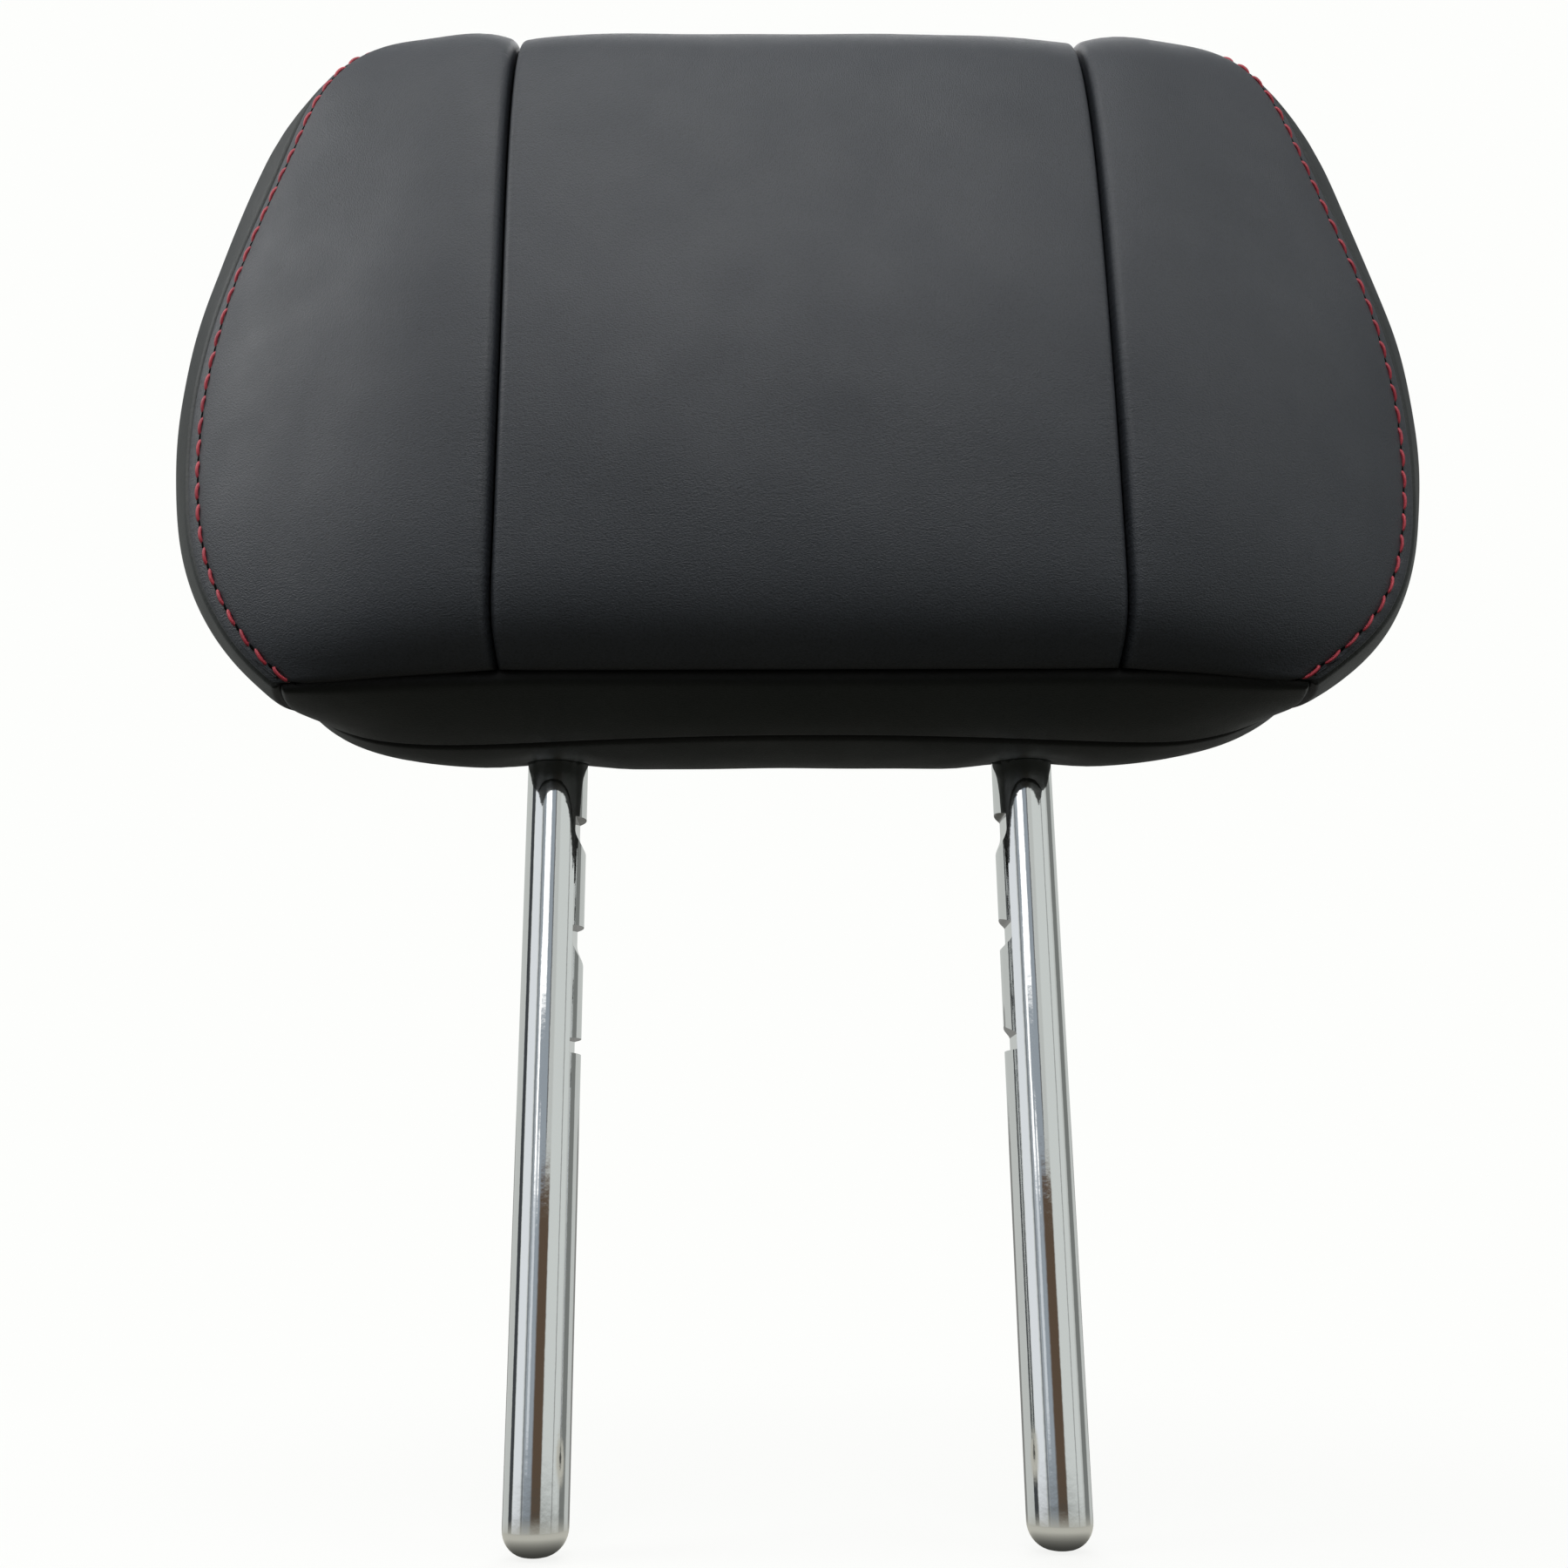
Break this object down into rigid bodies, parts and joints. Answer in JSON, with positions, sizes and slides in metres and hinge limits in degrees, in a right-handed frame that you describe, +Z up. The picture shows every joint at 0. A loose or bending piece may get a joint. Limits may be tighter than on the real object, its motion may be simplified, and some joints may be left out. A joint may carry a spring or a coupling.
{
  "type": "car headrest",
  "caption": "Padded leather car headrest with red topstitching on a bent, notched chrome rod whose legs plug into a seat back.",
  "frame": {"origin": "midway between the two posts' axes, level with the posts' lower ends", "axes": "+Z up along the posts, the padded front faces -Y, +X to the viewer's right"},
  "size_m": [0.3034, 0.1076, 0.3597],
  "materials": {
    "leather": "satin",
    "thread": "matte",
    "foam": "matte",
    "chrome": "polished",
    "black_plastic": "satin",
    "zinc_screw": "satin"
  },
  "bodies": {
    "root": {"back_panel": "leather", "bottom_panel": "leather", "foam_core": "foam", "front_centre_panel": "leather", "front_closure_strip": "black_plastic", "front_left_bolster": "leather", "front_right_bolster": "leather", "insert_front": "black_plastic", "insert_rear": "black_plastic", "insert_screw_1": "zinc_screw", "insert_screw_2": "zinc_screw", "insert_screw_3": "zinc_screw", "insert_screw_4": "zinc_screw", "left_post_grommet": "black_plastic", "left_side_panel": "leather", "left_topstitch": "thread", "post_frame": "chrome", "rear_closure_strip": "black_plastic", "right_post_grommet": "black_plastic", "right_side_panel": "leather", "right_topstitch": "thread"}
  },
  "joints": []
}
